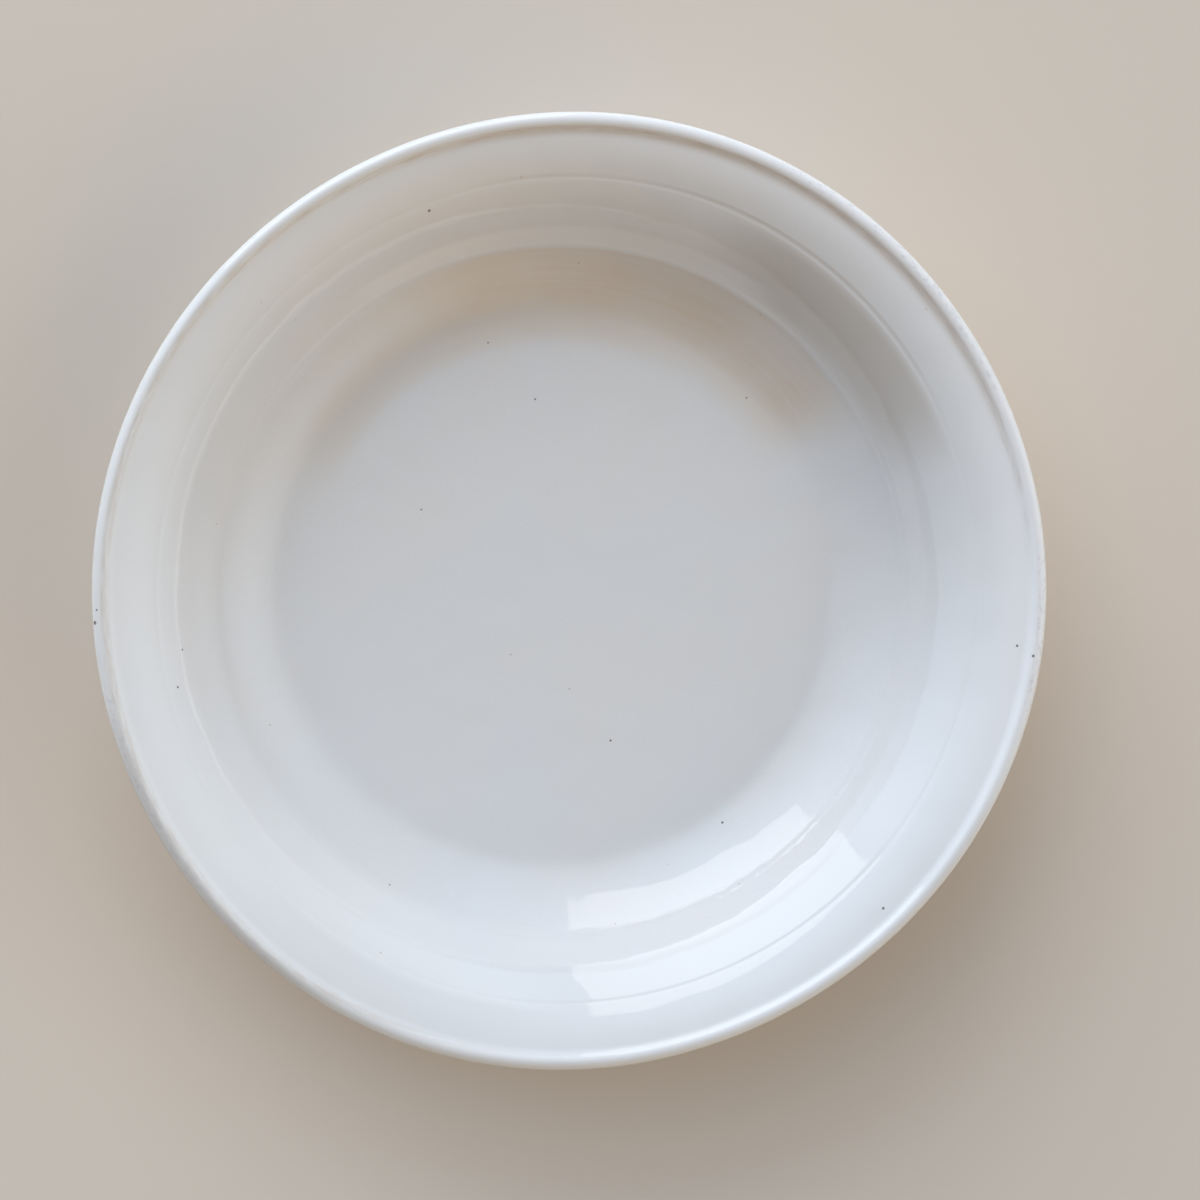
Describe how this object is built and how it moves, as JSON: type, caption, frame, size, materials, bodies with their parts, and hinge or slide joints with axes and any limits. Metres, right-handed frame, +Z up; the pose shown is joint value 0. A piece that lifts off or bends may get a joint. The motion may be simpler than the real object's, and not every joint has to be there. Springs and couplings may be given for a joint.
{
  "type": "serving bowl",
  "caption": "Low round serving bowl in white glazed ceramic: flat floor, curved wall, flared ledge, rolled rim and foot ring.",
  "frame": {"origin": "centre of the foot ring's resting face, on the surface that the bowl stands on", "axes": "+Z up along the bowl's axis of symmetry; the bowl is round, so +X and +Y are free"},
  "size_m": [0.255, 0.255, 0.0445],
  "materials": {
    "fired_clay": "matte, unglazed",
    "white_glaze": "gloss, worn and lightly stained",
    "foot_glaze": "gloss"
  },
  "bodies": {
    "root": {"ceramic_body": "fired_clay", "glaze_coat": "white_glaze", "foot_recess_glaze": "foot_glaze"}
  },
  "joints": []
}
